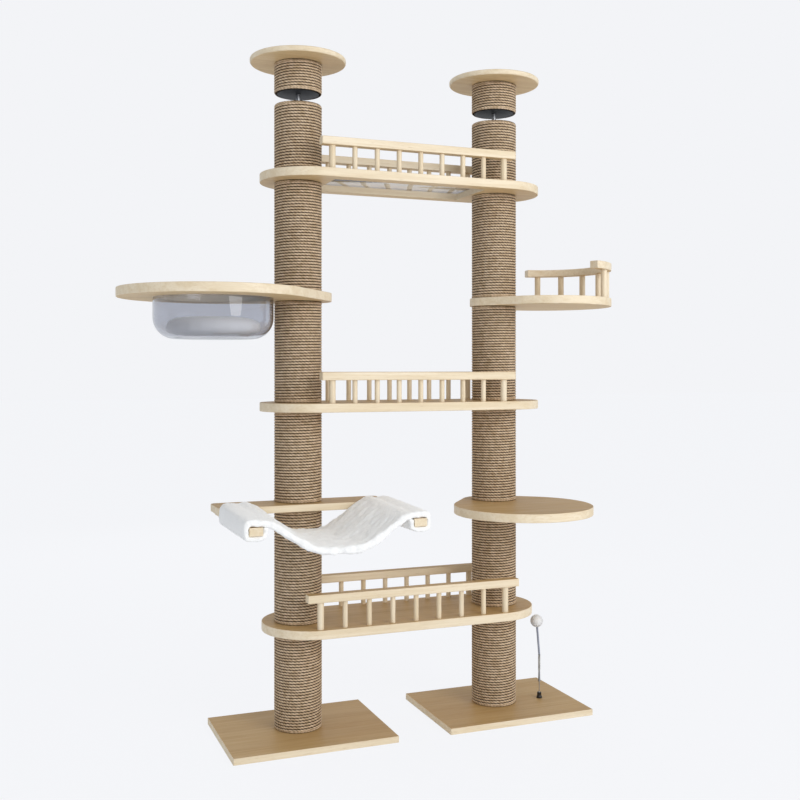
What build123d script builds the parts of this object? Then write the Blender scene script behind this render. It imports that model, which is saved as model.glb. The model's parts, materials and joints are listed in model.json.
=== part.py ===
"""Floor-to-ceiling cat tree: two rope-wound posts, three railed bridges, four side shelves.

Millimetres. Origin: axis of the left post, on the floor. X runs from the left post to the
right post, Y away from the open side of the hammock, Z up to the ceiling.
"""

from math import acos, atan2, cos, degrees, floor, pi, radians, sin, sqrt
import os

from build123d import *

os.makedirs("parts", exist_ok=True)

# Driving dimensions: posts
post_spacing = 779.0
post_diameter = 170.0
post_top = 2235.0
tube_wall = 8.0
plug_thickness = 18.0
post_rope = 16.0
collar_rope = 8.8
rope_seat_gap = 0.3
rope_turn_gap = 0.95
rope_seam = 90.0
most_turns = 24

# Driving dimensions: boards and the levels of their top faces
board_thickness = 31.0
board_rounding = 2.5
base_thickness = 22.0
base_left_reach = 284.0
base_right_reach = 298.0
base_front_reach = 230.0
base_back_reach = 203.0
base_corner = 3.0
low_bridge_top = 399.0
mid_bridge_top = 1177.0
top_bridge_top = 1990.0
bridge_width = 356.0
low_bridge_ends = (128.0, 141.0)
upper_bridge_ends = (135.0, 167.0)

# Driving dimensions: bridge rails
rail_width = 36.8
rail_thickness = 28.0
rail_inset = 3.0
rail_rounding = 2.5
low_rail_reach = (13.0, 17.0)
upper_rail_reach = (-37.0, 3.0)
low_rail_height = 94.0
upper_rail_height = 80.0
dowels_per_rail = 9
low_dowel_end = 49.0
upper_dowel_end = 41.0
dowel_diameter = 18.0
end_dowel_diameter = 23.0
socket_depth = 9.0

# Driving dimensions: clear floor of the top bridge
window_depth = 250.0
window_post_gap = 13.0
window_corner = 6.0
panel_thickness = 8.0
panel_ledge = 7.0
panel_clearance = 0.3

# Driving dimensions: hammock on the left post
hammock_top = 826.0
plank_thickness = 25.0
plank_half_length = 309.0
plank_front = 112.0
plank_back = 40.0
plank_corner = 22.0
plank_boss = 92.0
arm_offset = 271.0
arm_width = 42.0
arm_height = 26.0
arm_drop = 12.0
arm_front = 490.0
arm_back = 30.0
sling_thickness = 22.0
sling_front_gap = 6.0
sling_back_gap = 6.0
roll_above_arm = 24.0
roll_below_arm = 16.0
roll_outside = 14.0
roll_inside = 9.0
roll_corner = 16.0
sleeve_clearance = 0.3
sling_lowest = 715.0
sling_shoulder_out = 150.0
sling_shoulder_up = 42.0
sling_meets_roll = 27.0
screw_diameter = 5.0
screw_head_diameter = 10.0
screw_head_height = 4.0
screw_length = 28.0
screw_spacing = 100.0

# Driving dimensions: bowl shelf on the left post
bowl_shelf_top = 1567.0
bowl_shelf_heading = 193.8
bowl_shelf_reach = 328.0
bowl_shelf_radius = 321.0
shelf_post_end = 120.0
bowl_radius = 202.0
bowl_wall = 4.0
bowl_rim = 20.0
bowl_depth = 169.0
bowl_bend = 72.0
bowl_hole_clearance = 1.0
cushion_radius = 158.0
cushion_foot = 129.5
cushion_height = 70.0
cushion_crown = 12.0
cushion_clearance = 0.3

# Driving dimensions: round shelf and railed shelf on the right post
round_shelf_top = 796.0
round_shelf_heading = -82.0
round_shelf_reach = 190.0
round_shelf_radius = 255.0
rail_shelf_top = 1566.0
rail_shelf_heading = -10.8
rail_shelf_reach = 213.0
rail_shelf_radius = 246.0
rail_shelf_post_end = 92.0
curved_rail_height = 105.0
curved_rail_start = -70.0
curved_rail_end = 82.0
baluster_start = -50.0
baluster_step = 24.0
balusters = 6
baluster_diameter = 23.0

# Driving dimensions: ceiling heads
head_gap = 40.0
head_plate_radius = 74.0
head_plate_thickness = 4.0
post_cap_thickness = 4.0
collar_height = 107.0
disc_radius = 171.0
disc_thickness = 20.0
disc_rounding = 7.0
pad_radius = 150.0
pad_thickness = 2.0
rod_diameter = 16.0
rod_below_post_top = 150.0
rod_in_collar = 55.0
nut_across_flats = 24.0
nut_height = 13.0

# Driving dimensions: joining studs and running fits
stud_diameter = 12.0
stud_in_plug = 15.0
stud_in_base = 14.0
running_clearance = 0.05

# Driving dimensions: spring toy on the right base
toy_x = 178.0
toy_y = -36.0
toy_foot_radius = 10.5
toy_foot_waist = 8.0
toy_foot_height = 22.0
toy_wire_radius = 1.4
toy_wire_length = 42.0
toy_sleeve_radius = 4.6
toy_sleeve_length = 41.0
toy_spring_length = 61.0
toy_cup_radius = 4.3
toy_cup_height = 4.0
toy_joint_ball = 3.0
toy_joint_clearance = 0.08
toy_tube_standoff = 2.3
toy_spring_radius = 3.6
toy_spring_wire = 1.7
toy_spring_turns = 24
toy_tube_radius = 4.0
toy_tube_length = 108.0
toy_tube_lean = (-0.074, 0.029, 0.997)
toy_ball_radius = 26.0
toy_ball_socket = 8.0
toy_core_radius = 1.8

# Worked out from the driving dimensions
post_radius = post_diameter / 2
tube_radius = post_radius - post_rope - rope_seat_gap
collar_tube_radius = post_radius - collar_rope - rope_seat_gap
posts = {"left": 0.0, "right": post_spacing}
bridge_bottoms = [top - board_thickness for top in (low_bridge_top, mid_bridge_top, top_bridge_top)]
low_bottom, mid_bottom, top_bottom = bridge_bottoms
hammock_bottom = hammock_top - plank_thickness
bowl_shelf_bottom = bowl_shelf_top - board_thickness
round_shelf_bottom = round_shelf_top - board_thickness
rail_shelf_bottom = rail_shelf_top - board_thickness
stacks = {
    "left": [
        (0.0, base_thickness),
        (low_bottom, low_bridge_top),
        (hammock_bottom, hammock_top),
        (mid_bottom, mid_bridge_top),
        (bowl_shelf_bottom, bowl_shelf_top),
        (top_bottom, top_bridge_top),
    ],
    "right": [
        (0.0, base_thickness),
        (low_bottom, low_bridge_top),
        (round_shelf_bottom, round_shelf_top),
        (mid_bottom, mid_bridge_top),
        (rail_shelf_bottom, rail_shelf_top),
        (top_bottom, top_bridge_top),
    ],
}
stud_hole_radius = stud_diameter / 2 + running_clearance
dowel_hole_gap = running_clearance
rail_y = bridge_width / 2 - rail_inset - rail_width / 2
tube_top = post_top - post_cap_thickness
head_bottom = post_top + head_gap
disc_bottom = head_bottom + collar_height
disc_top = disc_bottom + disc_thickness


def segments(side):
    """Lower and upper end of each piece of post between two boards."""
    stack = stacks[side]
    uppers = [bottom for bottom, _ in stack[1:]] + [tube_top]
    return [(top, upper) for (_, top), upper in zip(stack, uppers)]


def save(piece, name):
    """Label a finished piece and write it."""
    piece.part.label = name
    export_step(piece.part, f"parts/{name}.step")


def turned(heading, reach):
    """Point at a heading and distance from a post axis."""
    return (reach * cos(radians(heading)), reach * sin(radians(heading)))


def teardrop(small_radius, big_radius, reach, heading):
    """Closed outline round a small circle at the post and a big one at the shelf's far end."""
    lean = degrees(acos((small_radius - big_radius) / reach))
    big = turned(heading, reach)

    def near(angle):
        return turned(angle, small_radius)

    def far(angle):
        offset = turned(angle, big_radius)
        return (big[0] + offset[0], big[1] + offset[1])

    with BuildLine() as outline:
        Line(near(heading - lean), far(heading - lean))
        ThreePointArc(far(heading - lean), far(heading), far(heading + lean))
        Line(far(heading + lean), near(heading + lean))
        ThreePointArc(near(heading + lean), near(heading + 180), near(heading - lean))
    return outline.line


def round_board(board, rounding):
    """Ease the long edges of the board's top and bottom faces."""
    top = board.faces().sort_by(Axis.Z)[-1]
    bottom = board.faces().sort_by(Axis.Z)[0]
    fillet(top.outer_wire().edges() + bottom.outer_wire().edges(), radius=rounding)


# Bases
for side, post_x in posts.items():
    with BuildPart() as base:
        width = base_left_reach + base_right_reach
        depth = base_front_reach + base_back_reach
        centre = (
            post_x + (base_right_reach - base_left_reach) / 2,
            (base_back_reach - base_front_reach) / 2,
        )
        with BuildSketch() as base_outline:
            with Locations(centre):
                RectangleRounded(width, depth, base_corner)
        extrude(amount=base_thickness)
        fillet(base.faces().sort_by(Axis.Z)[-1].outer_wire().edges(), radius=base_corner / 2)
        with Locations((post_x, 0, base_thickness)):
            Hole(radius=stud_hole_radius, depth=stud_in_base + running_clearance)
    save(base, f"base_{side}")

# Posts: one tube between each two boards, a plug in each tube end, a stud through each board
for side, post_x in posts.items():
    with BuildPart() as tubes:
        for lower, upper in segments(side):
            with BuildSketch(Plane((post_x, 0, lower))):
                Circle(tube_radius)
                Circle(tube_radius - tube_wall, mode=Mode.SUBTRACT)
            extrude(amount=upper - lower)
    save(tubes, f"post_tubes_{side}")

with BuildPart() as plugs:
    for side, post_x in posts.items():
        for lower, upper in segments(side):
            for plug_bottom in (lower, upper - plug_thickness):
                is_top = plug_bottom > tube_top - 2 * plug_thickness
                bore = rod_diameter if is_top else stud_diameter
                with BuildSketch(Plane((post_x, 0, plug_bottom))):
                    Circle(tube_radius - tube_wall - running_clearance)
                    Circle(bore / 2 + running_clearance, mode=Mode.SUBTRACT)
                extrude(amount=plug_thickness)
save(plugs, "end_plugs")

with BuildPart() as studs:
    for side, post_x in posts.items():
        for bottom, top in stacks[side]:
            stud_bottom = bottom - stud_in_plug if bottom > 0 else top - stud_in_base
            with BuildSketch(Plane((post_x, 0, stud_bottom))):
                Circle(stud_diameter / 2)
            extrude(amount=top + stud_in_plug - stud_bottom)
save(studs, "joining_studs")


def half_turn(start, start_direction, finish, finish_direction):
    """Two arcs that leave and arrive in the given directions."""
    across = finish - start
    both = start_direction + finish_direction
    spread = 2 * (1 - start_direction.dot(finish_direction))
    along = across.dot(both)
    handle = (-along + sqrt(along * along + spread * across.dot(across))) / spread
    first = start + start_direction * handle
    second = finish - finish_direction * handle
    middle = (first + second) * 0.5
    TangentArc(start, middle, tangent=start_direction)
    TangentArc(middle, finish, tangent=second - first)


def winding(axis_x, axis_y, lower, upper, coil_radius, wire, turns):
    """One unbroken tube wound upwards round a vertical axis, with straight ends."""
    pitch = (upper - lower - wire) / turns
    rise = pitch / (2 * pi)
    speed = sqrt(coil_radius**2 + rise**2)
    seam = radians(rope_seam)
    level = Vector(-sin(seam), cos(seam), 0)

    def place(angle):
        height = lower + wire / 2 + rise * angle
        way = angle + seam
        return Vector(axis_x + coil_radius * cos(way), axis_y + coil_radius * sin(way), height)

    def direction(angle):
        way = angle + seam
        return Vector(-coil_radius * sin(way), coil_radius * cos(way), rise) / speed

    halves = [index * pi for index in range(2 * turns + 1)]
    end_run = level * wire
    with BuildPart() as rope:
        with BuildLine() as path:
            Line(place(0) - end_run, place(0))
            for here, there in zip(halves, halves[1:]):
                first_way = level if here == 0 else direction(here)
                last_way = level if there == halves[-1] else direction(there)
                half_turn(place(here), first_way, place(there), last_way)
            Line(place(halves[-1]), place(halves[-1]) + end_run)
        with BuildSketch(Plane(origin=place(0) - end_run, z_dir=level)):
            Circle(wire / 2)
        sweep(path=path.wires()[0])
    return rope, path.wires()[0], pitch


def least_gap(wire_path, wire, turns):
    """Smallest distance between the tube's surface and its own neighbouring turns."""
    per_turn = 24
    count = turns * per_turn
    points = [wire_path.position_at(index / count) for index in range(count + 1)]
    nearest = 1e9
    for index, point in enumerate(points):
        window = points[index + per_turn // 2 : index + per_turn + per_turn // 2]
        for other in window:
            nearest = min(nearest, (other - point).length)
    return nearest - wire


def turns_for(length, wire):
    """Whole turns that fit, kept to the most that one winding has."""
    return max(1, min(most_turns, floor((length - wire) / (wire + rope_turn_gap))))


# Rope round each piece of post
for side, post_x in posts.items():
    pieces = segments(side)
    for number, (lower, upper) in enumerate(pieces, start=1):
        rope_upper = post_top if number == len(pieces) else upper - rope_seat_gap
        rope_lower = lower + rope_seat_gap
        turns = turns_for(rope_upper - rope_lower, post_rope)
        coil = post_radius - post_rope / 2
        rope, path, pitch = winding(post_x, 0, rope_lower, rope_upper, coil, post_rope, turns)
        print(f"rope_{side}_{number}: {turns} turns, pitch {pitch:.2f},",
              f"least gap {least_gap(path, post_rope, turns):.2f} mm")
        save(rope, f"rope_{side}_{number}")


def bridge_board(name, bottom, ends, window=False):
    """Floor of one bridge, a slot-shaped board with sockets for the dowels."""
    left, right = -ends[0], post_spacing + ends[1]
    with BuildPart() as board:
        with BuildSketch(Plane.XY.offset(bottom)):
            with Locations(((left + right) / 2, 0)):
                SlotOverall(right - left, bridge_width)
        extrude(amount=board_thickness)
        round_board(board, board_rounding)
        with Locations(*[(x, 0, bottom + board_thickness) for x in posts.values()]):
            Hole(radius=stud_hole_radius)
        if window:
            with BuildSketch(Plane.XY.offset(bottom)):
                with Locations((post_spacing / 2, 0)):
                    RectangleRounded(window_length, window_depth, window_corner)
            extrude(amount=board_thickness, mode=Mode.SUBTRACT)
            with BuildSketch(Plane.XY.offset(bottom + board_thickness)):
                with Locations((post_spacing / 2, 0)):
                    RectangleRounded(
                        window_length + 2 * panel_ledge,
                        window_depth + 2 * panel_ledge,
                        window_corner + panel_ledge,
                    )
            extrude(amount=-panel_thickness, mode=Mode.SUBTRACT)
        for place, radius in dowel_places(name):
            with Locations((*place, bottom + board_thickness)):
                Hole(radius=radius + dowel_hole_gap, depth=socket_depth + dowel_hole_gap)
    save(board, f"bridge_{name}_board")


window_length = post_spacing - post_diameter - 2 * window_post_gap
bridges = {
    "low": (low_bottom, low_bridge_ends, low_rail_reach, low_rail_height, low_dowel_end),
    "mid": (mid_bottom, upper_bridge_ends, upper_rail_reach, upper_rail_height, upper_dowel_end),
    "top": (top_bottom, upper_bridge_ends, upper_rail_reach, upper_rail_height, upper_dowel_end),
}


def dowel_places(name):
    """Centre and radius of every dowel of a bridge."""
    reach, end_distance = bridges[name][2], bridges[name][4]
    first = -reach[0] + end_distance
    last = post_spacing + reach[1] - end_distance
    step = (last - first) / (dowels_per_rail - 1)
    places = []
    for y in (-rail_y, rail_y):
        for number in range(dowels_per_rail):
            outer = number in (0, dowels_per_rail - 1)
            diameter = end_dowel_diameter if outer else dowel_diameter
            places.append(((first + number * step, y), diameter / 2))
    return places


# Bridges: board, two rails and the dowels that carry them
for name, (bottom, ends, reach, height, _) in bridges.items():
    bridge_board(name, bottom, ends, window=name == "top")
    board_top = bottom + board_thickness
    rail_bottom = board_top + height
    rail_left, rail_right = -reach[0], post_spacing + reach[1]
    with BuildPart() as rails:
        with BuildSketch(Plane.XY.offset(rail_bottom)):
            with Locations(*[((rail_left + rail_right) / 2, y) for y in (-rail_y, rail_y)]):
                Rectangle(rail_right - rail_left, rail_width)
        extrude(amount=rail_thickness)
        fillet(rails.edges(), radius=rail_rounding)
        for place, radius in dowel_places(name):
            with BuildSketch(Plane((*place, rail_bottom))):
                Circle(radius + dowel_hole_gap)
            extrude(amount=socket_depth + dowel_hole_gap, mode=Mode.SUBTRACT)
    save(rails, f"bridge_{name}_rails")
    with BuildPart() as dowels:
        for place, radius in dowel_places(name):
            with BuildSketch(Plane((*place, board_top - socket_depth))):
                Circle(radius)
            extrude(amount=height + 2 * socket_depth)
    save(dowels, f"bridge_{name}_dowels")

# Clear floor panel in the rebate of the top bridge
with BuildPart() as panel:
    with BuildSketch(Plane.XY.offset(top_bridge_top)):
        with Locations((post_spacing / 2, 0)):
            RectangleRounded(
                window_length + 2 * panel_ledge - 2 * panel_clearance,
                window_depth + 2 * panel_ledge - 2 * panel_clearance,
                window_corner + panel_ledge - panel_clearance,
            )
    extrude(amount=-panel_thickness)
save(panel, "floor_panel")

# Hammock: plank clamped in the left post, two arms lapped under it, four screws
arm_top = hammock_top - arm_drop
arm_bottom = arm_top - arm_height
lap_height = hammock_bottom - arm_bottom
arms_x = (-arm_offset, arm_offset)
screw_y = (arm_back - plank_front) / 2
screw_places = [(x, screw_y + step) for x in arms_x for step in (-screw_spacing / 2, screw_spacing / 2)]

with BuildPart() as plank:
    with BuildSketch(Plane.XY.offset(hammock_bottom)):
        with Locations((0, (plank_back - plank_front) / 2)):
            RectangleRounded(2 * plank_half_length, plank_front + plank_back, plank_corner)
        Circle(plank_boss)
    extrude(amount=plank_thickness)
    round_board(plank, board_rounding)
    with Locations((0, 0, hammock_top)):
        Hole(radius=stud_hole_radius)
    for place in screw_places:
        with BuildSketch(Plane((*place, hammock_bottom))):
            Circle(screw_diameter / 2 + running_clearance)
        extrude(amount=screw_length - lap_height + running_clearance, mode=Mode.SUBTRACT)
save(plank, "hammock_board")

with BuildPart() as arms:
    for x in arms_x:
        with BuildSketch(Plane.XY.offset(arm_bottom)):
            with Locations((x, (arm_back - arm_front) / 2)):
                Rectangle(arm_width, arm_front + arm_back)
        extrude(amount=lap_height)
        with BuildSketch(Plane.XY.offset(arm_bottom)):
            with Locations((x, -(arm_front + plank_front) / 2)):
                Rectangle(arm_width, arm_front - plank_front)
        extrude(amount=arm_height)
    for place in screw_places:
        with BuildSketch(Plane((*place, arm_bottom))):
            Circle(screw_diameter / 2 + running_clearance)
        extrude(amount=lap_height, mode=Mode.SUBTRACT)
        with BuildSketch(Plane((*place, arm_bottom))):
            Circle(screw_head_diameter / 2 + running_clearance)
        extrude(amount=screw_head_height, mode=Mode.SUBTRACT)
save(arms, "hammock_arms")

with BuildPart() as screws:
    for place in screw_places:
        with BuildSketch(Plane((*place, arm_bottom))):
            Circle(screw_head_diameter / 2)
        extrude(amount=screw_head_height)
        with BuildSketch(Plane((*place, arm_bottom))):
            Circle(screw_diameter / 2)
        extrude(amount=screw_length)
save(screws, "hammock_screws")

# Hammock sling: a sleeve round each arm and a deep sag between them
sling_front = -(arm_front - sling_front_gap)
sling_length = arm_front - sling_front_gap - plank_front - sling_back_gap
half_band = sling_thickness / 2
roll_width = roll_inside + arm_width + roll_outside
roll_height = roll_below_arm + arm_height + roll_above_arm
roll_middle = (arm_bottom - roll_below_arm + arm_top + roll_above_arm) / 2
with BuildPart() as sling:
    with BuildSketch(Plane((0, sling_front, 0), x_dir=(1, 0, 0), z_dir=(0, -1, 0))):
        for side_sign in (-1, 1):
            with Locations((side_sign * (arm_offset + (roll_outside - roll_inside) / 2), roll_middle)):
                RectangleRounded(roll_width, roll_height, roll_corner)
        with BuildLine():
            low_z = sling_lowest + half_band
            shoulder = (sling_shoulder_out, low_z + sling_shoulder_up)
            far_shoulder = (-sling_shoulder_out, low_z + sling_shoulder_up)
            sag = ThreePointArc(far_shoulder, (0, low_z), shoulder)
            roll_edge = (arm_offset - arm_width / 2 - roll_inside / 2, arm_bottom + sling_meets_roll)
            TangentArc(shoulder, roll_edge, tangent=sag % 1)
            TangentArc(far_shoulder, (-roll_edge[0], roll_edge[1]), tangent=(sag % 0) * -1)
        trace(line_width=sling_thickness)
        with Locations(*[(x, (arm_bottom + arm_top) / 2) for x in arms_x]):
            Rectangle(
                arm_width + 2 * sleeve_clearance,
                arm_height + 2 * sleeve_clearance,
                mode=Mode.SUBTRACT,
            )
    extrude(amount=-sling_length)
save(sling, "hammock_sling")

# Bowl shelf with its clear bowl and the cushion in the bowl
bowl_centre = turned(bowl_shelf_heading, bowl_shelf_reach)
with BuildPart() as bowl_shelf:
    with BuildSketch(Plane.XY.offset(bowl_shelf_bottom)):
        make_face(teardrop(shelf_post_end, bowl_shelf_radius, bowl_shelf_reach, bowl_shelf_heading))
    extrude(amount=board_thickness)
    round_board(bowl_shelf, board_rounding)
    with Locations((0, 0, bowl_shelf_top)):
        Hole(radius=stud_hole_radius)
    with Locations((*bowl_centre, bowl_shelf_top)):
        Hole(radius=bowl_radius + bowl_hole_clearance)
save(bowl_shelf, "bowl_shelf")

bowl_top = bowl_shelf_top + bowl_wall
bowl_bottom = bowl_shelf_bottom - (bowl_depth - board_thickness)
bend_centre = (bowl_radius - bowl_bend, bowl_bottom + bowl_bend)
inner_bend = bowl_bend - bowl_wall
diagonal = sqrt(0.5)
with BuildPart() as bowl:
    with BuildSketch(Plane((*bowl_centre, 0), x_dir=(1, 0, 0), z_dir=(0, -1, 0))):
        with BuildLine():
            Polyline(
                (0, bowl_bottom + bowl_wall),
                (0, bowl_bottom),
                (bend_centre[0], bowl_bottom),
            )
            ThreePointArc(
                (bend_centre[0], bowl_bottom),
                (bend_centre[0] + bowl_bend * diagonal, bend_centre[1] - bowl_bend * diagonal),
                (bowl_radius, bend_centre[1]),
            )
            Polyline(
                (bowl_radius, bend_centre[1]),
                (bowl_radius, bowl_shelf_top),
                (bowl_radius + bowl_rim, bowl_shelf_top),
                (bowl_radius + bowl_rim, bowl_top),
                (bowl_radius - bowl_wall, bowl_top),
                (bowl_radius - bowl_wall, bend_centre[1]),
            )
            ThreePointArc(
                (bowl_radius - bowl_wall, bend_centre[1]),
                (bend_centre[0] + inner_bend * diagonal, bend_centre[1] - inner_bend * diagonal),
                (bend_centre[0], bowl_bottom + bowl_wall),
            )
            Line((bend_centre[0], bowl_bottom + bowl_wall), (0, bowl_bottom + bowl_wall))
        make_face()
    revolve(axis=Axis((*bowl_centre, 0), (0, 0, 1)))
save(bowl, "bowl")

cushion_bottom = bowl_bottom + bowl_wall + cushion_clearance
cushion_top = cushion_bottom + cushion_height
cushion_shoulder = cushion_top - cushion_crown
cushion_waist = (cushion_bottom + cushion_shoulder) / 2
with BuildPart() as cushion:
    with BuildSketch(Plane((*bowl_centre, 0), x_dir=(1, 0, 0), z_dir=(0, -1, 0))):
        with BuildLine():
            Polyline((0, cushion_top), (0, cushion_bottom), (cushion_foot, cushion_bottom))
            side = ThreePointArc(
                (cushion_foot, cushion_bottom),
                (cushion_radius, cushion_waist),
                (cushion_foot, cushion_shoulder),
            )
            TangentArc((0, cushion_top), (cushion_foot, cushion_shoulder), tangent=(1, 0))
        make_face()
    revolve(axis=Axis((*bowl_centre, 0), (0, 0, 1)))
save(cushion, "bowl_cushion")

# Round shelf on the right post
with BuildPart() as round_shelf:
    with BuildSketch(Plane((post_spacing, 0, round_shelf_bottom))):
        make_face(teardrop(shelf_post_end, round_shelf_radius, round_shelf_reach, round_shelf_heading))
    extrude(amount=board_thickness)
    round_board(round_shelf, board_rounding)
    with Locations((post_spacing, 0, round_shelf_top)):
        Hole(radius=stud_hole_radius)
save(round_shelf, "round_shelf")

# Railed shelf on the right post: board, curved rail and its balusters
rail_offset = turned(rail_shelf_heading, rail_shelf_reach)
curve_centre = (post_spacing + rail_offset[0], rail_offset[1])
curved_rail_radius = rail_shelf_radius - rail_width / 2
baluster_angles = [baluster_start + number * baluster_step for number in range(balusters)]
baluster_places = []
for angle in baluster_angles:
    offset = turned(angle, curved_rail_radius)
    baluster_places.append((curve_centre[0] + offset[0], curve_centre[1] + offset[1]))
curved_rail_bottom = rail_shelf_top + curved_rail_height

with BuildPart() as rail_shelf:
    with BuildSketch(Plane((post_spacing, 0, rail_shelf_bottom))):
        make_face(
            teardrop(rail_shelf_post_end, rail_shelf_radius, rail_shelf_reach, rail_shelf_heading)
        )
    extrude(amount=board_thickness)
    round_board(rail_shelf, board_rounding)
    with Locations((post_spacing, 0, rail_shelf_top)):
        Hole(radius=stud_hole_radius)
    with Locations(*[(*place, rail_shelf_top) for place in baluster_places]):
        Hole(radius=baluster_diameter / 2 + dowel_hole_gap, depth=socket_depth + dowel_hole_gap)
save(rail_shelf, "rail_shelf")

with BuildPart() as curved_rail:
    with BuildSketch(Plane((*curve_centre, curved_rail_bottom))):
        with BuildLine():
            CenterArc((0, 0), curved_rail_radius, curved_rail_start, curved_rail_end - curved_rail_start)
        trace(line_width=rail_width)
    extrude(amount=rail_thickness)
    fillet(curved_rail.edges(), radius=rail_rounding)
    for place in baluster_places:
        with BuildSketch(Plane((*place, curved_rail_bottom))):
            Circle(baluster_diameter / 2 + dowel_hole_gap)
        extrude(amount=socket_depth + dowel_hole_gap, mode=Mode.SUBTRACT)
save(curved_rail, "shelf_rail")

with BuildPart() as shelf_balusters:
    for place in baluster_places:
        with BuildSketch(Plane((*place, rail_shelf_top - socket_depth))):
            Circle(baluster_diameter / 2)
        extrude(amount=curved_rail_height + 2 * socket_depth)
save(shelf_balusters, "shelf_balusters")

# Post caps and the adjusting nuts that stand on them
with BuildPart() as caps:
    for post_x in posts.values():
        with BuildSketch(Plane((post_x, 0, tube_top))):
            Circle(tube_radius)
            Circle(rod_diameter / 2 + running_clearance, mode=Mode.SUBTRACT)
        extrude(amount=post_cap_thickness)
save(caps, "post_caps")

with BuildPart() as nuts:
    for post_x in posts.values():
        with BuildSketch(Plane((post_x, 0, post_top))):
            RegularPolygon(radius=nut_across_flats / 2, side_count=6, major_radius=False)
            Circle(rod_diameter / 2 + running_clearance, mode=Mode.SUBTRACT)
        extrude(amount=nut_height)
save(nuts, "adjusting_nuts")

# Ceiling heads: rod, plate, collar tube, collar rope, disc and pad
for side, post_x in posts.items():
    with BuildPart() as rod:
        with BuildSketch(Plane((post_x, 0, post_top - rod_below_post_top))):
            Circle(rod_diameter / 2)
        extrude(amount=rod_below_post_top + head_gap + rod_in_collar)
    save(rod, f"adjuster_rod_{side}")

    with BuildPart() as head_plate:
        with BuildSketch(Plane((post_x, 0, head_bottom))):
            Circle(head_plate_radius)
            Circle(rod_diameter / 2 + running_clearance, mode=Mode.SUBTRACT)
        extrude(amount=head_plate_thickness)
    save(head_plate, f"head_plate_{side}")

    with BuildPart() as collar_tube:
        with BuildSketch(Plane((post_x, 0, head_bottom + head_plate_thickness))):
            Circle(collar_tube_radius)
            Circle(collar_tube_radius - tube_wall, mode=Mode.SUBTRACT)
        extrude(amount=collar_height - head_plate_thickness)
    save(collar_tube, f"collar_tube_{side}")

    collar_lower = head_bottom
    collar_upper = disc_bottom - rope_seat_gap
    turns = turns_for(collar_upper - collar_lower, collar_rope)
    coil = post_radius - collar_rope / 2
    rope, path, pitch = winding(post_x, 0, collar_lower, collar_upper, coil, collar_rope, turns)
    print(f"collar_rope_{side}: {turns} turns, pitch {pitch:.2f},",
          f"least gap {least_gap(path, collar_rope, turns):.2f} mm")
    save(rope, f"collar_rope_{side}")

    with BuildPart() as disc:
        with BuildSketch(Plane((post_x, 0, disc_bottom))):
            Circle(disc_radius)
        extrude(amount=disc_thickness)
        round_board(disc, disc_rounding)
    save(disc, f"ceiling_disc_{side}")

    with BuildPart() as pad:
        with BuildSketch(Plane((post_x, 0, disc_top))):
            Circle(pad_radius)
        extrude(amount=pad_thickness)
    save(pad, f"ceiling_pad_{side}")

# Spring toy on the right base
toy_place = (post_spacing + toy_x, toy_y)
wire_bottom = base_thickness + toy_foot_height
sleeve_bottom = wire_bottom + toy_wire_length
spring_bottom = sleeve_bottom + toy_sleeve_length
spring_top = spring_bottom + toy_spring_length
cup_top = spring_top + toy_cup_height
lower_joint = (*toy_place, wire_bottom)
upper_joint = (*toy_place, cup_top)
tube_plane = Plane(origin=upper_joint, z_dir=toy_tube_lean).offset(toy_tube_standoff)
with BuildPart() as toy_foot:
    with BuildSketch(Plane((*toy_place, 0), x_dir=(1, 0, 0), z_dir=(0, -1, 0))):
        with BuildLine():
            Polyline(
                (0, base_thickness),
                (toy_foot_radius, base_thickness),
                (toy_foot_radius, base_thickness + toy_foot_height / 4),
                (toy_foot_waist, base_thickness + toy_foot_height / 2),
                (toy_foot_waist, wire_bottom),
                (0, wire_bottom),
                close=True,
            )
        make_face()
    revolve(axis=Axis((*toy_place, 0), (0, 0, 1)))
    with Locations(lower_joint):
        Sphere(toy_joint_ball + toy_joint_clearance, mode=Mode.SUBTRACT)
save(toy_foot, "toy_foot")

with BuildPart() as toy_wire:
    with Locations(lower_joint):
        Sphere(toy_joint_ball)
    with BuildSketch(Plane(lower_joint)):
        Circle(toy_wire_radius)
    extrude(amount=toy_wire_length)
    with BuildSketch(Plane((*toy_place, sleeve_bottom))):
        Circle(toy_sleeve_radius)
    extrude(amount=toy_sleeve_length, taper=2)
    with BuildSketch(Plane((*toy_place, spring_bottom))):
        Circle(toy_core_radius)
    extrude(amount=toy_spring_length)
    with BuildSketch(Plane((*toy_place, spring_top))):
        Circle(toy_cup_radius)
    extrude(amount=toy_cup_height)
    with Locations(upper_joint):
        Sphere(toy_joint_ball + toy_joint_clearance, mode=Mode.SUBTRACT)
save(toy_wire, "toy_wire")

toy_spring, path, pitch = winding(
    *toy_place,
    spring_bottom + rope_seat_gap,
    spring_top - rope_seat_gap,
    toy_spring_radius,
    toy_spring_wire,
    toy_spring_turns,
)
print(f"toy_spring: {toy_spring_turns} turns, pitch {pitch:.2f},",
      f"least gap {least_gap(path, toy_spring_wire, toy_spring_turns):.2f} mm")
save(toy_spring, "toy_spring")

with BuildPart() as toy_tube:
    with Locations(upper_joint):
        Sphere(toy_joint_ball)
    with BuildSketch(tube_plane):
        Circle(toy_tube_radius)
    extrude(amount=toy_tube_length)
save(toy_tube, "toy_tube")

socket_start = toy_tube_length - toy_ball_socket
ball_centre = tube_plane.from_local_coords(Vector(0, 0, socket_start + toy_ball_radius))
with BuildPart() as toy_ball:
    with Locations(ball_centre):
        Sphere(toy_ball_radius)
    with BuildSketch(tube_plane):
        Circle(toy_tube_radius + running_clearance)
    extrude(amount=toy_tube_length + running_clearance, mode=Mode.SUBTRACT)
save(toy_ball, "toy_ball")
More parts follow.
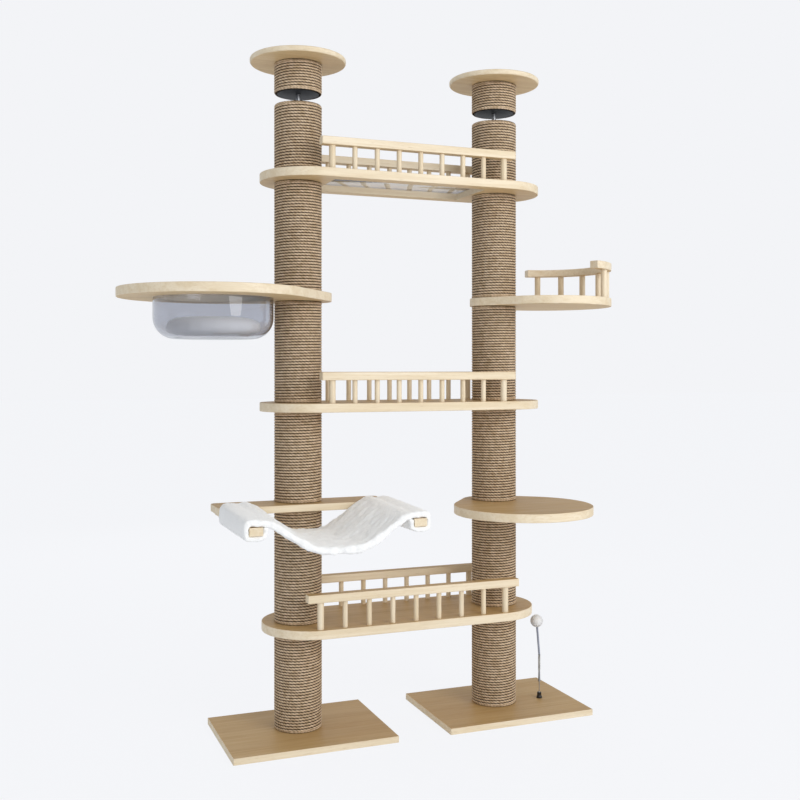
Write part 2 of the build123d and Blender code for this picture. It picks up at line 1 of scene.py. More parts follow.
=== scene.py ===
"""Looks of the floor-to-ceiling cat tree: rope, plush, clear plastic, wood and metal.

Metres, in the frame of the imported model: the origin is the left post's axis on the floor,
X runs to the right post, Y away from the hammock's open side and Z up.
"""

import json
import math

import bpy
import numpy as np
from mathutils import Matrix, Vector, noise

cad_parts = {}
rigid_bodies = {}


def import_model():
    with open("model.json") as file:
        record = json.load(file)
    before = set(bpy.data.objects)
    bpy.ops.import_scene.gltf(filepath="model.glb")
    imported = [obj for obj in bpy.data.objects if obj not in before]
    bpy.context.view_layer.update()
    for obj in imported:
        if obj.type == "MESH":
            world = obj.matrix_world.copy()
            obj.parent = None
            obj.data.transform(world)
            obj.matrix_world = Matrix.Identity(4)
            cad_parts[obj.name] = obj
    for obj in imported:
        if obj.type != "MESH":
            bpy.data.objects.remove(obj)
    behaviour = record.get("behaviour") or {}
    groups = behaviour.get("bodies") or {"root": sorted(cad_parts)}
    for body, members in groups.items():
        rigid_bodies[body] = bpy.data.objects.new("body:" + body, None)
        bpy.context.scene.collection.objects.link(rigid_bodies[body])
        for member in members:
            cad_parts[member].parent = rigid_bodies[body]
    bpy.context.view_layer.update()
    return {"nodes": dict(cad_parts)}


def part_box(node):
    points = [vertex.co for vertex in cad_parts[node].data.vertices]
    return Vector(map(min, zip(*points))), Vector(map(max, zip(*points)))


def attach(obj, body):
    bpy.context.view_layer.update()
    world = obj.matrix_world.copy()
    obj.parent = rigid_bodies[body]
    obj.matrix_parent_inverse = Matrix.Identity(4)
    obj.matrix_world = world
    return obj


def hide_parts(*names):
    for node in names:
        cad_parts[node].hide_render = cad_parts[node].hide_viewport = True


for leftover in list(bpy.data.objects):
    bpy.data.objects.remove(leftover)
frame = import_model()
nodes = frame["nodes"]
scene = bpy.context.scene
MM = 0.001
SIDES = ("left", "right")
ROPES_PER_POST = 6
# The tufts' directions come from noise_vector, whose offsets are random unless they are seeded
NOISE_SEED = 1
noise.seed_set(NOISE_SEED)


def linear(red, green, blue):
    """A colour written as 0 to 255, as the linear numbers that a shader takes."""
    values = []
    for value in (red, green, blue):
        c = value / 255
        values.append(c / 12.92 if c <= 0.04045 else ((c + 0.055) / 1.055) ** 2.4)
    return (*values, 1.0)


class Shader:
    """A material under construction, with short ways to add and join its nodes."""

    def __init__(self, name):
        self.material = bpy.data.materials.new(name)
        self.material.use_nodes = True
        self.tree = self.material.node_tree
        self.principled = self.tree.nodes["Principled BSDF"]

    def node(self, kind, **settings):
        made = self.tree.nodes.new(kind)
        for key, value in settings.items():
            setattr(made, key, value)
        return made

    def put(self, socket, value):
        if hasattr(value, "is_output"):
            self.tree.links.new(value, socket)
        else:
            socket.default_value = value

    def set(self, **values):
        for key, value in values.items():
            self.put(self.principled.inputs[key.replace("_", " ")], value)

    def object_place(self):
        return self.node("ShaderNodeTexCoord").outputs["Object"]

    def scaled(self, vector, scale):
        mapping = self.node("ShaderNodeMapping")
        self.put(mapping.inputs["Vector"], vector)
        mapping.inputs["Scale"].default_value = scale
        return mapping.outputs["Vector"]

    def noise(self, vector, scale, detail=3.0, rough=0.5, warp=0.0):
        made = self.node("ShaderNodeTexNoise")
        self.put(made.inputs["Vector"], vector)
        made.inputs["Scale"].default_value = scale
        made.inputs["Detail"].default_value = detail
        made.inputs["Roughness"].default_value = rough
        made.inputs["Distortion"].default_value = warp
        return made.outputs["Fac"]

    def math(self, operation, first, second=0.0, third=0.0):
        made = self.node("ShaderNodeMath", operation=operation)
        for socket, value in zip(made.inputs, (first, second, third)):
            self.put(socket, value)
        return made.outputs[0]

    def between(self, value, low, high, to_low=0.0, to_high=1.0):
        made = self.node("ShaderNodeMapRange", clamp=True, interpolation_type="SMOOTHSTEP")
        for socket, number in zip(made.inputs, (value, low, high, to_low, to_high)):
            self.put(socket, number)
        return made.outputs[0]

    def mix(self, factor, first, second, blend="MIX"):
        made = self.node("ShaderNodeMix", data_type="RGBA", blend_type=blend)
        self.put(made.inputs[0], factor)
        self.put(made.inputs[6], first)
        self.put(made.inputs[7], second)
        return made.outputs[2]

    def bump(self, height, distance, strength=1.0):
        made = self.node("ShaderNodeBump")
        self.put(made.inputs["Height"], height)
        made.inputs["Distance"].default_value = distance
        made.inputs["Strength"].default_value = strength
        return made.outputs["Normal"]


def wood(name, along):
    """Pale lacquered wood, grained along one axis, with painted shade on the board tops and a painted warm
    shade on their undersides.
    """
    shader = Shader(name)
    place = shader.object_place()
    stretch = [9.0, 9.0, 9.0]
    stretch["XYZ".index(along)] = 0.55
    figure = shader.noise(shader.scaled(place, stretch), 3.0, 4.0, 0.55, 0.6)
    stretch = [160.0, 160.0, 160.0]
    stretch["XYZ".index(along)] = 4.0
    fibre = shader.noise(shader.scaled(place, stretch), 1.0, 3.0, 0.6)
    stretch = [420.0, 420.0, 420.0]
    stretch["XYZ".index(along)] = 26.0
    pores = shader.noise(shader.scaled(place, stretch), 1.0, 2.0, 0.5)
    colour = shader.mix(shader.between(figure, 0.36, 0.66), linear(236, 221, 194), linear(226, 208, 176))
    colour = shader.mix(shader.between(fibre, 0.42, 0.72, 0.0, 0.35), colour, linear(212, 186, 144))
    colour = shader.mix(shader.between(pores, 0.60, 0.78, 0.0, 0.35), colour, linear(172, 138, 92))
    # Painted shade on the board tops: faces whose normal looks up are multiplied towards a deeper tan
    facing = shader.node("ShaderNodeSeparateXYZ")
    shader.put(facing.inputs[0], shader.node("ShaderNodeNewGeometry").outputs["Normal"])
    upper = shader.between(facing.outputs[2], 0.75, 0.98)
    colour = shader.mix(upper, colour, linear(204, 182, 145), "MULTIPLY")
    # Painted warm shade on the undersides: faces whose normal looks down are multiplied by a warm tan
    painted_under_shade = shader.between(facing.outputs[2], -0.98, -0.75, 1.0, 0.0)
    colour = shader.mix(painted_under_shade, colour, linear(242, 226, 196), "MULTIPLY")
    height = shader.math("ADD", shader.math("MULTIPLY", fibre, 0.6), pores)
    shader.set(
        Base_Color=colour,
        Roughness=shader.between(fibre, 0.3, 0.7, 0.42, 0.56),
        Normal=shader.bump(height, 0.00035, 0.5),
    )
    return shader.material


def rope_material(name, strand=0.012, slant=1.35):
    """Twisted natural fibre with painted shade in its grooves; the mesh gives the place along and across the
    rope.
    """
    shader = Shader(name)
    lay = shader.node("ShaderNodeAttribute", attribute_name="lay")
    parts = shader.node("ShaderNodeSeparateXYZ")
    shader.put(parts.inputs[0], lay.outputs["Vector"])
    along, across = parts.outputs[0], parts.outputs[1]
    place = shader.object_place()
    wander = shader.noise(place, 26.0, 2.0)
    phase = shader.math("ADD", shader.math("DIVIDE", along, strand), shader.math("MULTIPLY", across, slant))
    phase = shader.math("ADD", phase, shader.math("MULTIPLY", wander, 1.1))
    lobe = shader.math("ABSOLUTE", shader.math("SINE", shader.math("MULTIPLY", phase, math.pi)))
    lobe = shader.math("POWER", lobe, 0.7)
    crown = shader.math("SINE", shader.math("MULTIPLY", across, math.pi))
    fibre_place = shader.node("ShaderNodeCombineXYZ")
    shader.put(fibre_place.inputs[0], shader.math("MULTIPLY", along, 130.0))
    turned = shader.math("ADD", shader.math("MULTIPLY", phase, 1.6), shader.math("MULTIPLY", across, 9.0))
    shader.put(fibre_place.inputs[1], turned)
    fibre = shader.noise(fibre_place.outputs[0], 1.0, 4.0, 0.65)
    tone = shader.noise(place, 60.0, 3.0, 0.6)
    colour = shader.mix(shader.between(tone, 0.32, 0.68), linear(230, 206, 176), linear(196, 170, 138))
    colour = shader.mix(shader.between(fibre, 0.40, 0.75, 0.0, 0.6), colour, linear(146, 118, 88))
    # Painted shade: the grooves between the strands and the sides where the turns meet are darkened to deep
    # brown, the crowns left light
    painted_crown_light = shader.math("MULTIPLY", crown, shader.math("MULTIPLY_ADD", lobe, 0.38, 0.62))
    colour = shader.mix(shader.between(painted_crown_light, 0.38, 0.90, 0.98, 0.0), colour, linear(44, 29, 16))
    height = shader.math("ADD", lobe, shader.math("MULTIPLY", fibre, 0.22))
    shader.set(Base_Color=colour, Roughness=0.88, Normal=shader.bump(height, 0.0014, 0.8))
    shader.principled.inputs["Specular IOR Level"].default_value = 0.2
    return shader.material


def plush(name, colour, shade, fine=900.0):
    """Short soft pile with small tufts."""
    shader = Shader(name)
    place = shader.object_place()
    tufts = shader.noise(place, fine / 3, 4.0, 0.7)
    pile = shader.noise(place, fine, 3.0, 0.6)
    drift = shader.noise(place, 22.0, 3.0, 0.55)
    mixed = shader.mix(shader.between(tufts, 0.35, 0.7, 0.0, 0.5), colour, shade)
    mixed = shader.mix(shader.between(drift, 0.45, 0.75, 0.0, 0.35), mixed, shade)
    height = shader.math("ADD", tufts, shader.math("MULTIPLY", pile, 0.5))
    shader.set(Base_Color=mixed, Roughness=0.95, Normal=shader.bump(height, 0.0018, 0.5))
    shader.principled.inputs["Sheen Weight"].default_value = 0.5
    shader.principled.inputs["Sheen Roughness"].default_value = 0.5
    shader.principled.inputs["Specular IOR Level"].default_value = 0.15
    return shader.material


def metal(name, colour, roughness, grain=260.0):
    """Plated or brushed steel with fine scratches."""
    shader = Shader(name)
    scratch = shader.noise(shader.scaled(shader.object_place(), (1.0, 1.0, 0.15)), grain, 3.0)
    shader.set(
        Base_Color=colour,
        Metallic=1.0,
        Roughness=shader.between(scratch, 0.3, 0.7, roughness - 0.08, roughness + 0.08),
        Normal=shader.bump(scratch, 0.0002, 0.3),
    )
    return shader.material


def dull(name, colour, roughness, grain=700.0, depth=0.0002, worn=None):
    """Paint, rubber or moulded plastic with a fine texture and slight unevenness."""
    shader = Shader(name)
    place = shader.object_place()
    texture = shader.noise(place, grain, 2.0)
    drift = shader.noise(place, 30.0, 3.0)
    other = worn or tuple(min(1.0, part * 1.35 + 0.004) for part in colour[:3]) + (1.0,)
    shader.set(
        Base_Color=shader.mix(shader.between(drift, 0.4, 0.8, 0.0, 0.5), colour, other),
        Roughness=shader.between(texture, 0.3, 0.7, roughness - 0.06, roughness + 0.06),
        Normal=shader.bump(texture, depth, 0.4),
    )
    return shader.material


def clear(name, tint, wave=7.0):
    """Polished clear plastic with a faint tint and a little waviness."""
    shader = Shader(name)
    ripple = shader.noise(shader.object_place(), wave, 2.0)
    shader.set(Base_Color=tint, Roughness=0.015, Normal=shader.bump(ripple, 0.004, 0.25))
    shader.principled.inputs["Transmission Weight"].default_value = 1.0
    shader.principled.inputs["IOR"].default_value = 1.47
    return shader.material


def dress(node, material):
    """Give a carried-over CAD part its material."""
    slots = nodes[node].data.materials
    slots.clear()
    slots.append(material)


def new_mesh(name, points, faces, material):
    """A smoothly shaded mesh object from points and faces."""
    mesh = bpy.data.meshes.new(name)
    mesh.from_pydata([tuple(point) for point in points], [], faces)
    mesh.validate()
    mesh.update()
    mesh.polygons.foreach_set("use_smooth", [True] * len(mesh.polygons))
    piece = bpy.data.objects.new(name, mesh)
    scene.collection.objects.link(piece)
    mesh.materials.append(material)
    return piece


def apply_modifiers(piece):
    """Bake the piece's modifiers into its mesh."""
    graph = bpy.context.evaluated_depsgraph_get()
    mesh = bpy.data.meshes.new_from_object(piece.evaluated_get(graph))
    old = piece.data
    piece.modifiers.clear()
    piece.data = mesh
    bpy.data.meshes.remove(old)


def middle(node):
    """Centre of a CAD node's box."""
    low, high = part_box(node)
    return (low + high) / 2


wood_x = wood("wood_grain_x", "X")
wood_y = wood("wood_grain_y", "Y")
wood_z = wood("wood_grain_z", "Z")
sisal = rope_material("sisal_rope")
zinc = metal("zinc_plate", linear(158, 160, 164), 0.34)
black_paint = dull("black_paint", linear(22, 25, 29), 0.5)
rubber = dull("black_rubber", linear(30, 30, 31), 0.8, 500.0)
black_plastic = dull("black_plastic", linear(32, 27, 22), 0.5)
tube_board = dull("wound_board", linear(120, 92, 62), 0.85, 260.0)
acrylic = clear("clear_acrylic", linear(212, 214, 220))
white_plush = plush("white_plush", linear(253, 253, 251), linear(236, 236, 236))
grey_plush = plush("grey_plush", linear(252, 252, 252), linear(236, 236, 236))
bead_plastic = dull("clear_beads", linear(196, 196, 192), 0.25, worn=linear(110, 104, 96))
tube_plastic = dull("blue_grey_tube", linear(150, 156, 172), 0.5, worn=linear(122, 126, 140))

for node in nodes:
    if node.endswith(("_dowels", "_balusters")) or node == "end_plugs":
        dress(node, wood_z)
    elif node == "hammock_arms":
        dress(node, wood_y)
    elif node.startswith(("base_", "bridge_", "hammock_board", "ceiling_disc", "round_shelf")):
        dress(node, wood_x)
    elif node in ("bowl_shelf", "rail_shelf", "shelf_rail"):
        dress(node, wood_x)
    elif node.startswith(("post_tubes", "collar_tube")):
        dress(node, tube_board)
    elif node.startswith(("head_plate", "post_caps")):
        dress(node, black_paint)
    elif node.startswith("ceiling_pad"):
        dress(node, rubber)
    elif node.startswith(("adjust", "joining", "hammock_screws")) or node == "toy_wire":
        dress(node, zinc)
    elif node == "toy_foot":
        dress(node, black_plastic)
    elif node == "toy_spring":
        dress(node, bead_plastic)
    elif node == "toy_tube":
        dress(node, tube_plastic)

# Clear pieces: turned and bevelled finely, lying a hair above the wood so that both faces show
CLEAR_GAP = 0.3 * MM
BOWL_WALL = 4.0 * MM
BOWL_RIM = 20.0 * MM
BOWL_BEND = 72.0 * MM
BOWL_SPOKES = 192
BEND_STEPS = 16
PANEL_EDGE = 1.0 * MM
SHARP_EDGE = math.radians(40)


def clear_piece(piece, node, body):
    """A clear piece takes a CAD node's place and lets the lamps through."""
    piece.data.set_sharp_from_angle(angle=SHARP_EDGE)
    piece.visible_shadow = False
    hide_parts(node)
    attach(piece, body)


def make_bowl():
    """The bowl, turned round its axis from the middle of its outside to the middle of its inside."""
    low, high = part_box("bowl")
    centre = (low + high) / 2
    shelf_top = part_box("bowl_shelf")[1].z + CLEAR_GAP
    rim_radius = (high.x - low.x) / 2
    radius = rim_radius - BOWL_RIM
    profile = [(0.0, low.z)]
    for index in range(BEND_STEPS + 1):
        turn = math.pi / 2 * index / BEND_STEPS
        spot = (radius - BOWL_BEND * (1 - math.sin(turn)), low.z + BOWL_BEND * (1 - math.cos(turn)))
        profile.append(spot)
    profile += [(radius, shelf_top), (rim_radius, shelf_top)]
    profile += [(rim_radius, high.z), (radius - BOWL_WALL, high.z)]
    bend = BOWL_BEND - BOWL_WALL
    for index in range(BEND_STEPS + 1):
        turn = math.pi / 2 * (1 - index / BEND_STEPS)
        r = radius - BOWL_BEND + bend * math.sin(turn)
        profile.append((r, low.z + BOWL_BEND - bend * math.cos(turn)))
    profile.append((0.0, low.z + BOWL_WALL))
    rings = profile[1:-1]
    points = [Vector((centre.x, centre.y, profile[0][1])), Vector((centre.x, centre.y, profile[-1][1]))]
    for r, z in rings:
        for spoke in range(BOWL_SPOKES):
            way = 2 * math.pi * spoke / BOWL_SPOKES
            points.append(Vector((centre.x + r * math.cos(way), centre.y + r * math.sin(way), z)))
    faces = []
    last = 2 + (len(rings) - 1) * BOWL_SPOKES
    for spoke in range(BOWL_SPOKES):
        after = (spoke + 1) % BOWL_SPOKES
        faces.append((0, 2 + after, 2 + spoke))
        faces.append((1, last + spoke, last + after))
        for ring in range(len(rings) - 1):
            base = 2 + ring * BOWL_SPOKES
            above = base + BOWL_SPOKES
            faces.append((base + spoke, base + after, above + after, above + spoke))
    clear_piece(new_mesh("clear_bowl", points, faces, acrylic), "bowl", "bowl")


def make_panel():
    """The clear floor, a plate with eased edges in the top bridge."""
    low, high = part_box("floor_panel")
    size = high - low - 2 * Vector((CLEAR_GAP, CLEAR_GAP, CLEAR_GAP))
    bpy.ops.mesh.primitive_cube_add(size=1, location=(0, 0, 0))
    piece = bpy.context.object
    piece.name = "clear_panel"
    for vertex in piece.data.vertices:
        vertex.co = (low + high) / 2 + Vector(a * b for a, b in zip(vertex.co, size))
    piece.data.materials.append(acrylic)
    edges = piece.modifiers.new("edges", "BEVEL")
    edges.width = PANEL_EDGE
    edges.segments = 2
    apply_modifiers(piece)
    clear_piece(piece, "floor_panel", "frame")


make_bowl()
make_panel()

# Rope: every CAD winding is replaced by the true one, 10 mm rope wound turn against turn
ROPE = 10.0 * MM
ROPE_STEPS = 72
ROPE_ACROSS = 6
LAY_SQUEEZE = 1.3 * MM


def wound_rope(node, body):
    """A rope wound from the lower to the upper end of a CAD winding."""
    low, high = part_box(node)
    centre = middle(node)
    turns = round((high.z - low.z) / ROPE)
    pitch = (high.z - low.z) / turns
    outer = round((high.y - low.y) / 2, 4)
    heart = outer - ROPE / 2
    steps = np.arange(-ROPE_STEPS, (turns + 1) * ROPE_STEPS + 1)
    count = steps / ROPE_STEPS
    free = low.z + pitch * (count + 0.5)
    height = np.clip(free, low.z + pitch / 2, high.z - pitch / 2)
    inward = LAY_SQUEEZE * np.clip(np.abs(free - height) / (0.4 * pitch), 0, 1)
    angle = 2 * math.pi * count + math.pi / 2
    tilt = np.linspace(-math.pi / 2, math.pi / 2, ROPE_ACROSS + 1)
    radius = heart + ROPE / 2 * np.cos(tilt)[None, :] - inward[:, None]
    x = centre.x + radius * np.cos(angle)[:, None]
    y = centre.y + radius * np.sin(angle)[:, None]
    z = height[:, None] + pitch / 2 * np.sin(tilt)[None, :]
    points = np.stack([x, y, z], axis=-1).reshape(-1, 3)
    row = ROPE_ACROSS + 1
    first = (np.arange(len(steps) - 1)[:, None] * row + np.arange(ROPE_ACROSS)[None, :]).ravel()
    faces = np.stack([first, first + row, first + row + 1, first + 1], axis=-1)
    piece = new_mesh(f"wound_{node}", points, faces.tolist(), sisal)
    along = np.repeat(count * 2 * math.pi * heart, row)
    across = np.tile(np.linspace(0, 1, row), len(steps))
    lay = np.stack([along, across, np.zeros_like(along)], axis=-1)
    attribute = piece.data.attributes.new("lay", "FLOAT_VECTOR", "POINT")
    attribute.data.foreach_set("vector", lay.astype(np.float32).ravel())
    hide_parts(node)
    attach(piece, body)


for side in SIDES:
    for number in range(1, ROPES_PER_POST + 1):
        wound_rope(f"rope_{side}_{number}", "frame")
    wound_rope(f"collar_rope_{side}", f"head_{side}")

# Hammock sling: one thick band of plush with a sleeve wrapped round each arm
arms_low, arms_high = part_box("hammock_arms")
sling_low, sling_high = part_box("hammock_sling")
ARM_WIDTH = 42.0 * MM
SLING_THICK = 23.0 * MM
SLING_ROWS = 34
# The plush reaches almost to the ends of the arms, past the CAD solid
SLING_FRONT = 5.0 * MM
SAG_STEPS = 15
SAG_EDGE = 226.0 * MM
# Front and back edge of the band: lowest top, rise, where the rise starts and ends, shift
SAG_FRONT = (738 * MM, 97 * MM, 45 * MM, 265 * MM, 8 * MM)
SAG_BACK = (744 * MM, 101 * MM, 35 * MM, 235 * MM, -12 * MM)
# The wrap round the right arm, from the band over, round and under it to the seam:
# outside and inside of the plush, from the arm's centre
WRAP = [
    ((-26, 32), (-22, 14)),
    ((-12, 36), (-14, 14)),
    ((6, 37), (2, 14)),
    ((23, 36), (15, 14)),
    ((35, 30), (21.6, 13.4)),
    ((39, 12), (21.6, 4)),
    ((39, -9), (21.6, -6)),
    ((36, -26), (21.6, -13.4)),
    ((20, -31), (13, -13.6)),
    ((0, -31), (0, -13.6)),
    ((-18, -30), (-13, -13.6)),
    ((-32, -25), (-21.6, -13.4)),
    ((-36, -12), (-21.8, -5)),
    ((-37, 2), (-21.8, 4)),
    ((-38, 12), (-22, 11)),
]


def smoothstep(value):
    """A soft step from 0 to 1."""
    value = min(1.0, max(0.0, value))
    return value * value * (3 - 2 * value)


def sag_top(x, share):
    """Height of the band's upper side; share runs from the front edge to the back one."""
    edges = []
    for lowest, rise, start, end, shift in (SAG_FRONT, SAG_BACK):
        reach = abs(x - shift * (1 - abs(x) / SAG_EDGE))
        edges.append(lowest + rise * smoothstep((reach - start) / (end - start)) + 0.12 * x * x)
    return edges[0] + (edges[1] - edges[0]) * share


def sling_section(share):
    """Outside and inside of the band at one distance from the front edge."""
    arm_x = arms_high.x - ARM_WIDTH / 2
    arm_z = (arms_low.z + arms_high.z) / 2
    pairs = []
    for sign in (-1, 1):
        half = []
        for index in range(SAG_STEPS):
            x = sign * SAG_EDGE * index / (SAG_STEPS - 1)
            step = 1.0 * MM
            slope = (sag_top(x + step, share) - sag_top(x - step, share)) / (2 * step)
            upper = Vector((x, sag_top(x, share)))
            half.append((upper, upper - Vector((-slope, 1)).normalized() * SLING_THICK))
        for outside, inside in WRAP:
            puff = 1 + 0.22 * share if outside[1] > 20 else 1
            wrap = [(outside[0], outside[1] * puff), inside]
            half.append(tuple(Vector((sign * (arm_x + dx * MM), arm_z + dz * MM)) for dx, dz in wrap))
        pairs.append(half)
    return list(reversed(pairs[0]))[:-1] + pairs[1]


def make_sling():
    """The whole sling: outer and inner side, seams and edges, then softened and rumpled."""
    points, faces = [], []
    for row in range(SLING_ROWS + 1):
        share = row / SLING_ROWS
        y = sling_low.y - SLING_FRONT + (sling_high.y - sling_low.y + SLING_FRONT) * share
        section = sling_section(share)
        count = len(section)
        points += [Vector((p.x, y, p.y)) for p, _ in section]
        points += [Vector((p.x, y, p.y)) for _, p in section]
    ring = 2 * count

    def outer(row, index):
        return row * ring + index

    def inner(row, index):
        return row * ring + count + index

    for row in range(SLING_ROWS):
        behind = row + 1
        for index in range(count - 1):
            beside = index + 1
            faces.append((outer(row, index), outer(row, beside), outer(behind, beside), outer(behind, index)))
            faces.append((inner(row, index), inner(behind, index), inner(behind, beside), inner(row, beside)))
        for index in (0, count - 1):
            quad = (outer(row, index), outer(row + 1, index), inner(row + 1, index), inner(row, index))
            faces.append(quad if index == 0 else quad[::-1])
    for index in range(count - 1):
        front = (outer(0, index), inner(0, index), inner(0, index + 1), outer(0, index + 1))
        back = tuple(corner + SLING_ROWS * ring for corner in front[::-1])
        faces += [front, back]
    piece = new_mesh("plush_sling", points, faces, white_plush)
    subdivide = piece.modifiers.new("smooth", "SUBSURF")
    subdivide.levels = subdivide.render_levels = 2
    apply_modifiers(piece)
    rumple(piece)
    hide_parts("hammock_sling")
    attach(piece, "sling")


def rumple(piece, wide=4.0 * MM, small=1.5 * MM):
    """Slack folds and tufts of the pile on the open part of the band."""
    mesh = piece.data
    normals = [normal.vector.copy() for normal in mesh.vertex_normals]
    places = [vertex.co.copy() for vertex in mesh.vertices]
    moved = []
    front, back = min(place.y for place in places), max(place.y for place in places)
    for place, normal in zip(places, normals):
        edge = 1 - smoothstep((min(place.y - front, back - place.y)) / (14 * MM))
        open_part = smoothstep((230 * MM - abs(place.x)) / (60 * MM))
        folds = noise.noise(Vector((place.x * 9 + place.y * 7, place.y * 13 - place.x * 5, 3.1)))
        creases = noise.noise(Vector((place.x * 34 + place.y * 12, place.y * 52 - place.x * 10, 0.7)))
        tufts = noise.noise(place * 95) + 0.5 * noise.noise(place * 210)
        lift = wide * (folds + 1.1 * creases) * open_part + small * tufts * (1 + edge)
        moved.extend(place + normal * lift)
    mesh.vertices.foreach_set("co", moved)
    mesh.update()


make_sling()

# Cushion in the bowl: crowned and soft-edged, gathered a little round its widest part
cushion_low, cushion_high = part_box("bowl_cushion")
CUSHION_RINGS = 26
CUSHION_SPOKES = 96


def make_cushion():
    """A round cushion of rings, from the middle of its underside to the middle of its top."""
    centre = middle("bowl_cushion")
    radius = (cushion_high.x - cushion_low.x) / 2
    height = cushion_high.z - cushion_low.z
    points, faces = [], []
    for ring in range(CUSHION_RINGS + 1):
        turn = math.pi * ring / CUSHION_RINGS - math.pi / 2
        reach = max(0.0, math.cos(turn)) ** 0.42
        rise = math.copysign(abs(math.sin(turn)) ** 0.85, math.sin(turn))
        z = cushion_low.z + height * (0.5 + 0.5 * rise)
        for spoke in range(CUSHION_SPOKES):
            way = 2 * math.pi * spoke / CUSHION_SPOKES
            around = Vector((math.cos(way), math.sin(way), 0))
            pucker = 1 - 0.012 * abs(math.sin(way * 11)) * reach**6
            spot = centre + around * radius * reach * pucker
            spot.z = z
            lump = noise.noise(Vector((spot.x, spot.y, 0.0)) * 11) * 3.0 * MM
            spot.z += lump * (0.5 + 0.5 * rise) * reach if ring > CUSHION_RINGS / 2 else 0
            points.append(spot)
    for ring in range(CUSHION_RINGS):
        for spoke in range(CUSHION_SPOKES):
            after = (spoke + 1) % CUSHION_SPOKES
            base, top = ring * CUSHION_SPOKES, (ring + 1) * CUSHION_SPOKES
            faces.append((base + spoke, base + after, top + after, top + spoke))
    piece = new_mesh("plush_cushion", points, faces, grey_plush)
    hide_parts("bowl_cushion")
    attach(piece, "cushion")


make_cushion()

# Toy ball: a core with short tufts of pile
ball_low, ball_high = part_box("toy_ball")
BALL_TUFTS = 1500
TUFT_ROOT = 0.7 * MM


def make_toy_ball():
    """The ball, its tufts spread evenly by the golden angle."""
    centre = middle("toy_ball")
    radius = (ball_high.x - ball_low.x) / 2
    golden = math.pi * (3 - math.sqrt(5))
    points, faces = [], []
    bpy.ops.mesh.primitive_ico_sphere_add(subdivisions=5, radius=1, location=(0, 0, 0))
    core = bpy.context.object
    core.name = "pile_ball"
    for vertex in core.data.vertices:
        way = vertex.co.normalized()
        bumps = noise.noise(way * 5) * 0.05 + noise.noise(way * 17) * 0.06
        vertex.co = centre + way * radius * (0.86 + bumps)
    core.data.polygons.foreach_set("use_smooth", [True] * len(core.data.polygons))
    core.data.materials.append(grey_plush)
    for index in range(BALL_TUFTS):
        z = 1 - 2 * (index + 0.5) / BALL_TUFTS
        way = Vector((math.cos(golden * index), math.sin(golden * index), 0)) * math.sqrt(1 - z * z)
        way.z = z
        lean = Vector(noise.noise_vector(way * 40)) * 0.5
        side = way.cross(Vector((0.3, 0.5, 0.8))).normalized() * TUFT_ROOT
        other = way.cross(side).normalized() * TUFT_ROOT
        root = centre + way * radius * 0.84
        tip = centre + (way + lean * 0.35).normalized() * radius * (0.95 + 0.05 * noise.noise(way * 60))
        start = len(points)
        points += [root + side, root - side * 0.5 + other, root - side * 0.5 - other, tip]
        faces += [(start, start + 1, start + 3), (start + 1, start + 2, start + 3)]
        faces.append((start + 2, start, start + 3))
    pile = new_mesh("pile_tufts", points, faces, grey_plush)
    pile.parent = core
    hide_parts("toy_ball")
    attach(core, "toy_tip")


make_toy_ball()

# Stage: floor, light and camera
BACKGROUND = linear(243, 244, 247)
FLOOR = 40.0
FLOOR_DROP = 0.5 * MM
FLOOR_GLOW = 1.03
GLOW_SHARE = 0.93


def backdrop_colour(tree, other):
    """The plain background for the camera and through clear plastic, and the other shader elsewhere."""
    path = tree.nodes.new("ShaderNodeLightPath")
    seen = tree.nodes.new("ShaderNodeMath")
    seen.operation = "MAXIMUM"
    tree.links.new(path.outputs["Is Camera Ray"], seen.inputs[0])
    tree.links.new(path.outputs["Is Transmission Ray"], seen.inputs[1])
    mix = tree.nodes.new("ShaderNodeMixShader")
    glow = tree.nodes.new("ShaderNodeEmission" if other.type == "SHADER" else "ShaderNodeBackground")
    glow.inputs[0].default_value = BACKGROUND
    tree.links.new(seen.outputs[0], mix.inputs[0])
    tree.links.new(other, mix.inputs[1])
    tree.links.new(glow.outputs[0], mix.inputs[2])
    return mix.outputs[0], glow


world = bpy.data.worlds.new("studio")
world.use_nodes = True
scene.world = world
ambient = world.node_tree.nodes["Background"]
ambient.inputs["Color"].default_value = (0.93, 0.96, 1.0, 1.0)
ambient.inputs["Strength"].default_value = 0.68
shown, _ = backdrop_colour(world.node_tree, ambient.outputs[0])
world.node_tree.links.new(shown, world.node_tree.nodes["World Output"].inputs["Surface"])

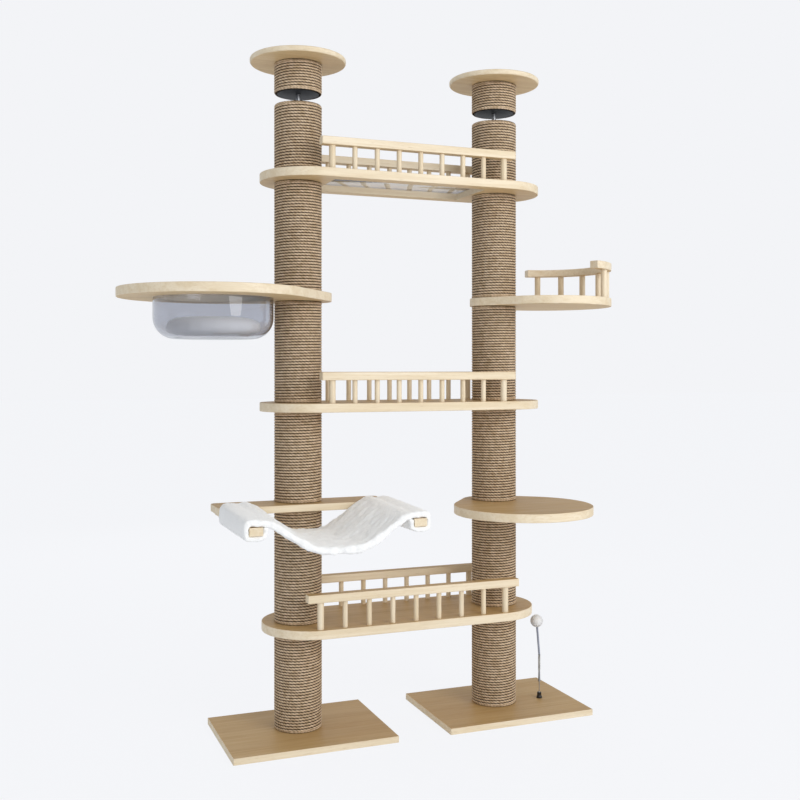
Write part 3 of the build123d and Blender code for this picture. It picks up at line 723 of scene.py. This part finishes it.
floor_shader = Shader("studio_floor")
floor_shader.set(Base_Color=BACKGROUND, Roughness=0.9)
shown, glow = backdrop_colour(floor_shader.tree, floor_shader.principled.outputs[0])
shadow_mix = floor_shader.node("ShaderNodeMixShader")
shadow_mix.inputs[0].default_value = GLOW_SHARE
floor_shader.put(shadow_mix.inputs[1], floor_shader.principled.outputs[0])
glow.inputs["Strength"].default_value = FLOOR_GLOW
floor_shader.put(shadow_mix.inputs[2], shown)
output = floor_shader.tree.nodes["Material Output"]
floor_shader.put(output.inputs["Surface"], shadow_mix.outputs[0])
corners = [(x * FLOOR, y * FLOOR, -FLOOR_DROP) for x, y in ((-1, -1), (1, -1), (1, 1), (-1, 1))]
floor = new_mesh("studio_floor", corners, [(0, 1, 2, 3)], floor_shader.material)


def lamp(name, place, aim, size, power, colour=(1, 1, 1)):
    """A round lamp aimed at a point; metal and clear plastic mirror the key lamp only."""
    light = bpy.data.lights.new(name, "AREA")
    light.size, light.energy, light.color = size, power, colour
    light.shape = "DISK"
    lamp_object = bpy.data.objects.new(name, light)
    lamp_object.location = place
    lamp_object.rotation_mode = "QUATERNION"
    lamp_object.rotation_quaternion = (Vector(aim) - Vector(place)).to_track_quat("-Z", "Y")
    lamp_object.visible_transmission = False
    lamp_object.visible_glossy = name == "key"
    scene.collection.objects.link(lamp_object)


lamp("key", (2.6, -5.0, 2.9), (0.4, 0, 1.2), 3.6, 144, (1.0, 0.985, 0.96))
lamp("fill", (-3.4, -4.2, 1.8), (0.3, 0, 1.2), 3.0, 14, (0.96, 0.98, 1.0))
lamp("back", (0.6, 4.6, 2.6), (0.4, 0, 1.2), 3.0, 34)

# The camera as fitted to the photograph: its width, focal length and middle in pixels
PHOTO_WIDTH = 800
FOCAL_PIXELS = 1041.87
MIDDLE_X = 399.06
MIDDLE_Y = 367.82
camera_data = bpy.data.cameras.new("camera")
camera_data.sensor_width = 36.0
camera_data.lens = camera_data.sensor_width * FOCAL_PIXELS / PHOTO_WIDTH
camera_data.shift_x = (PHOTO_WIDTH / 2 - MIDDLE_X) / PHOTO_WIDTH
camera_data.shift_y = (MIDDLE_Y - PHOTO_WIDTH / 2) / PHOTO_WIDTH
camera_data.clip_end = 100
camera = bpy.data.objects.new("camera", camera_data)
camera.location = (-1.02524, -3.59468, 1.30008)
camera.rotation_euler = (math.radians(90), 0, math.radians(-21.457))
scene.collection.objects.link(camera)
scene.camera = camera
scene.view_settings.view_transform = "Standard"
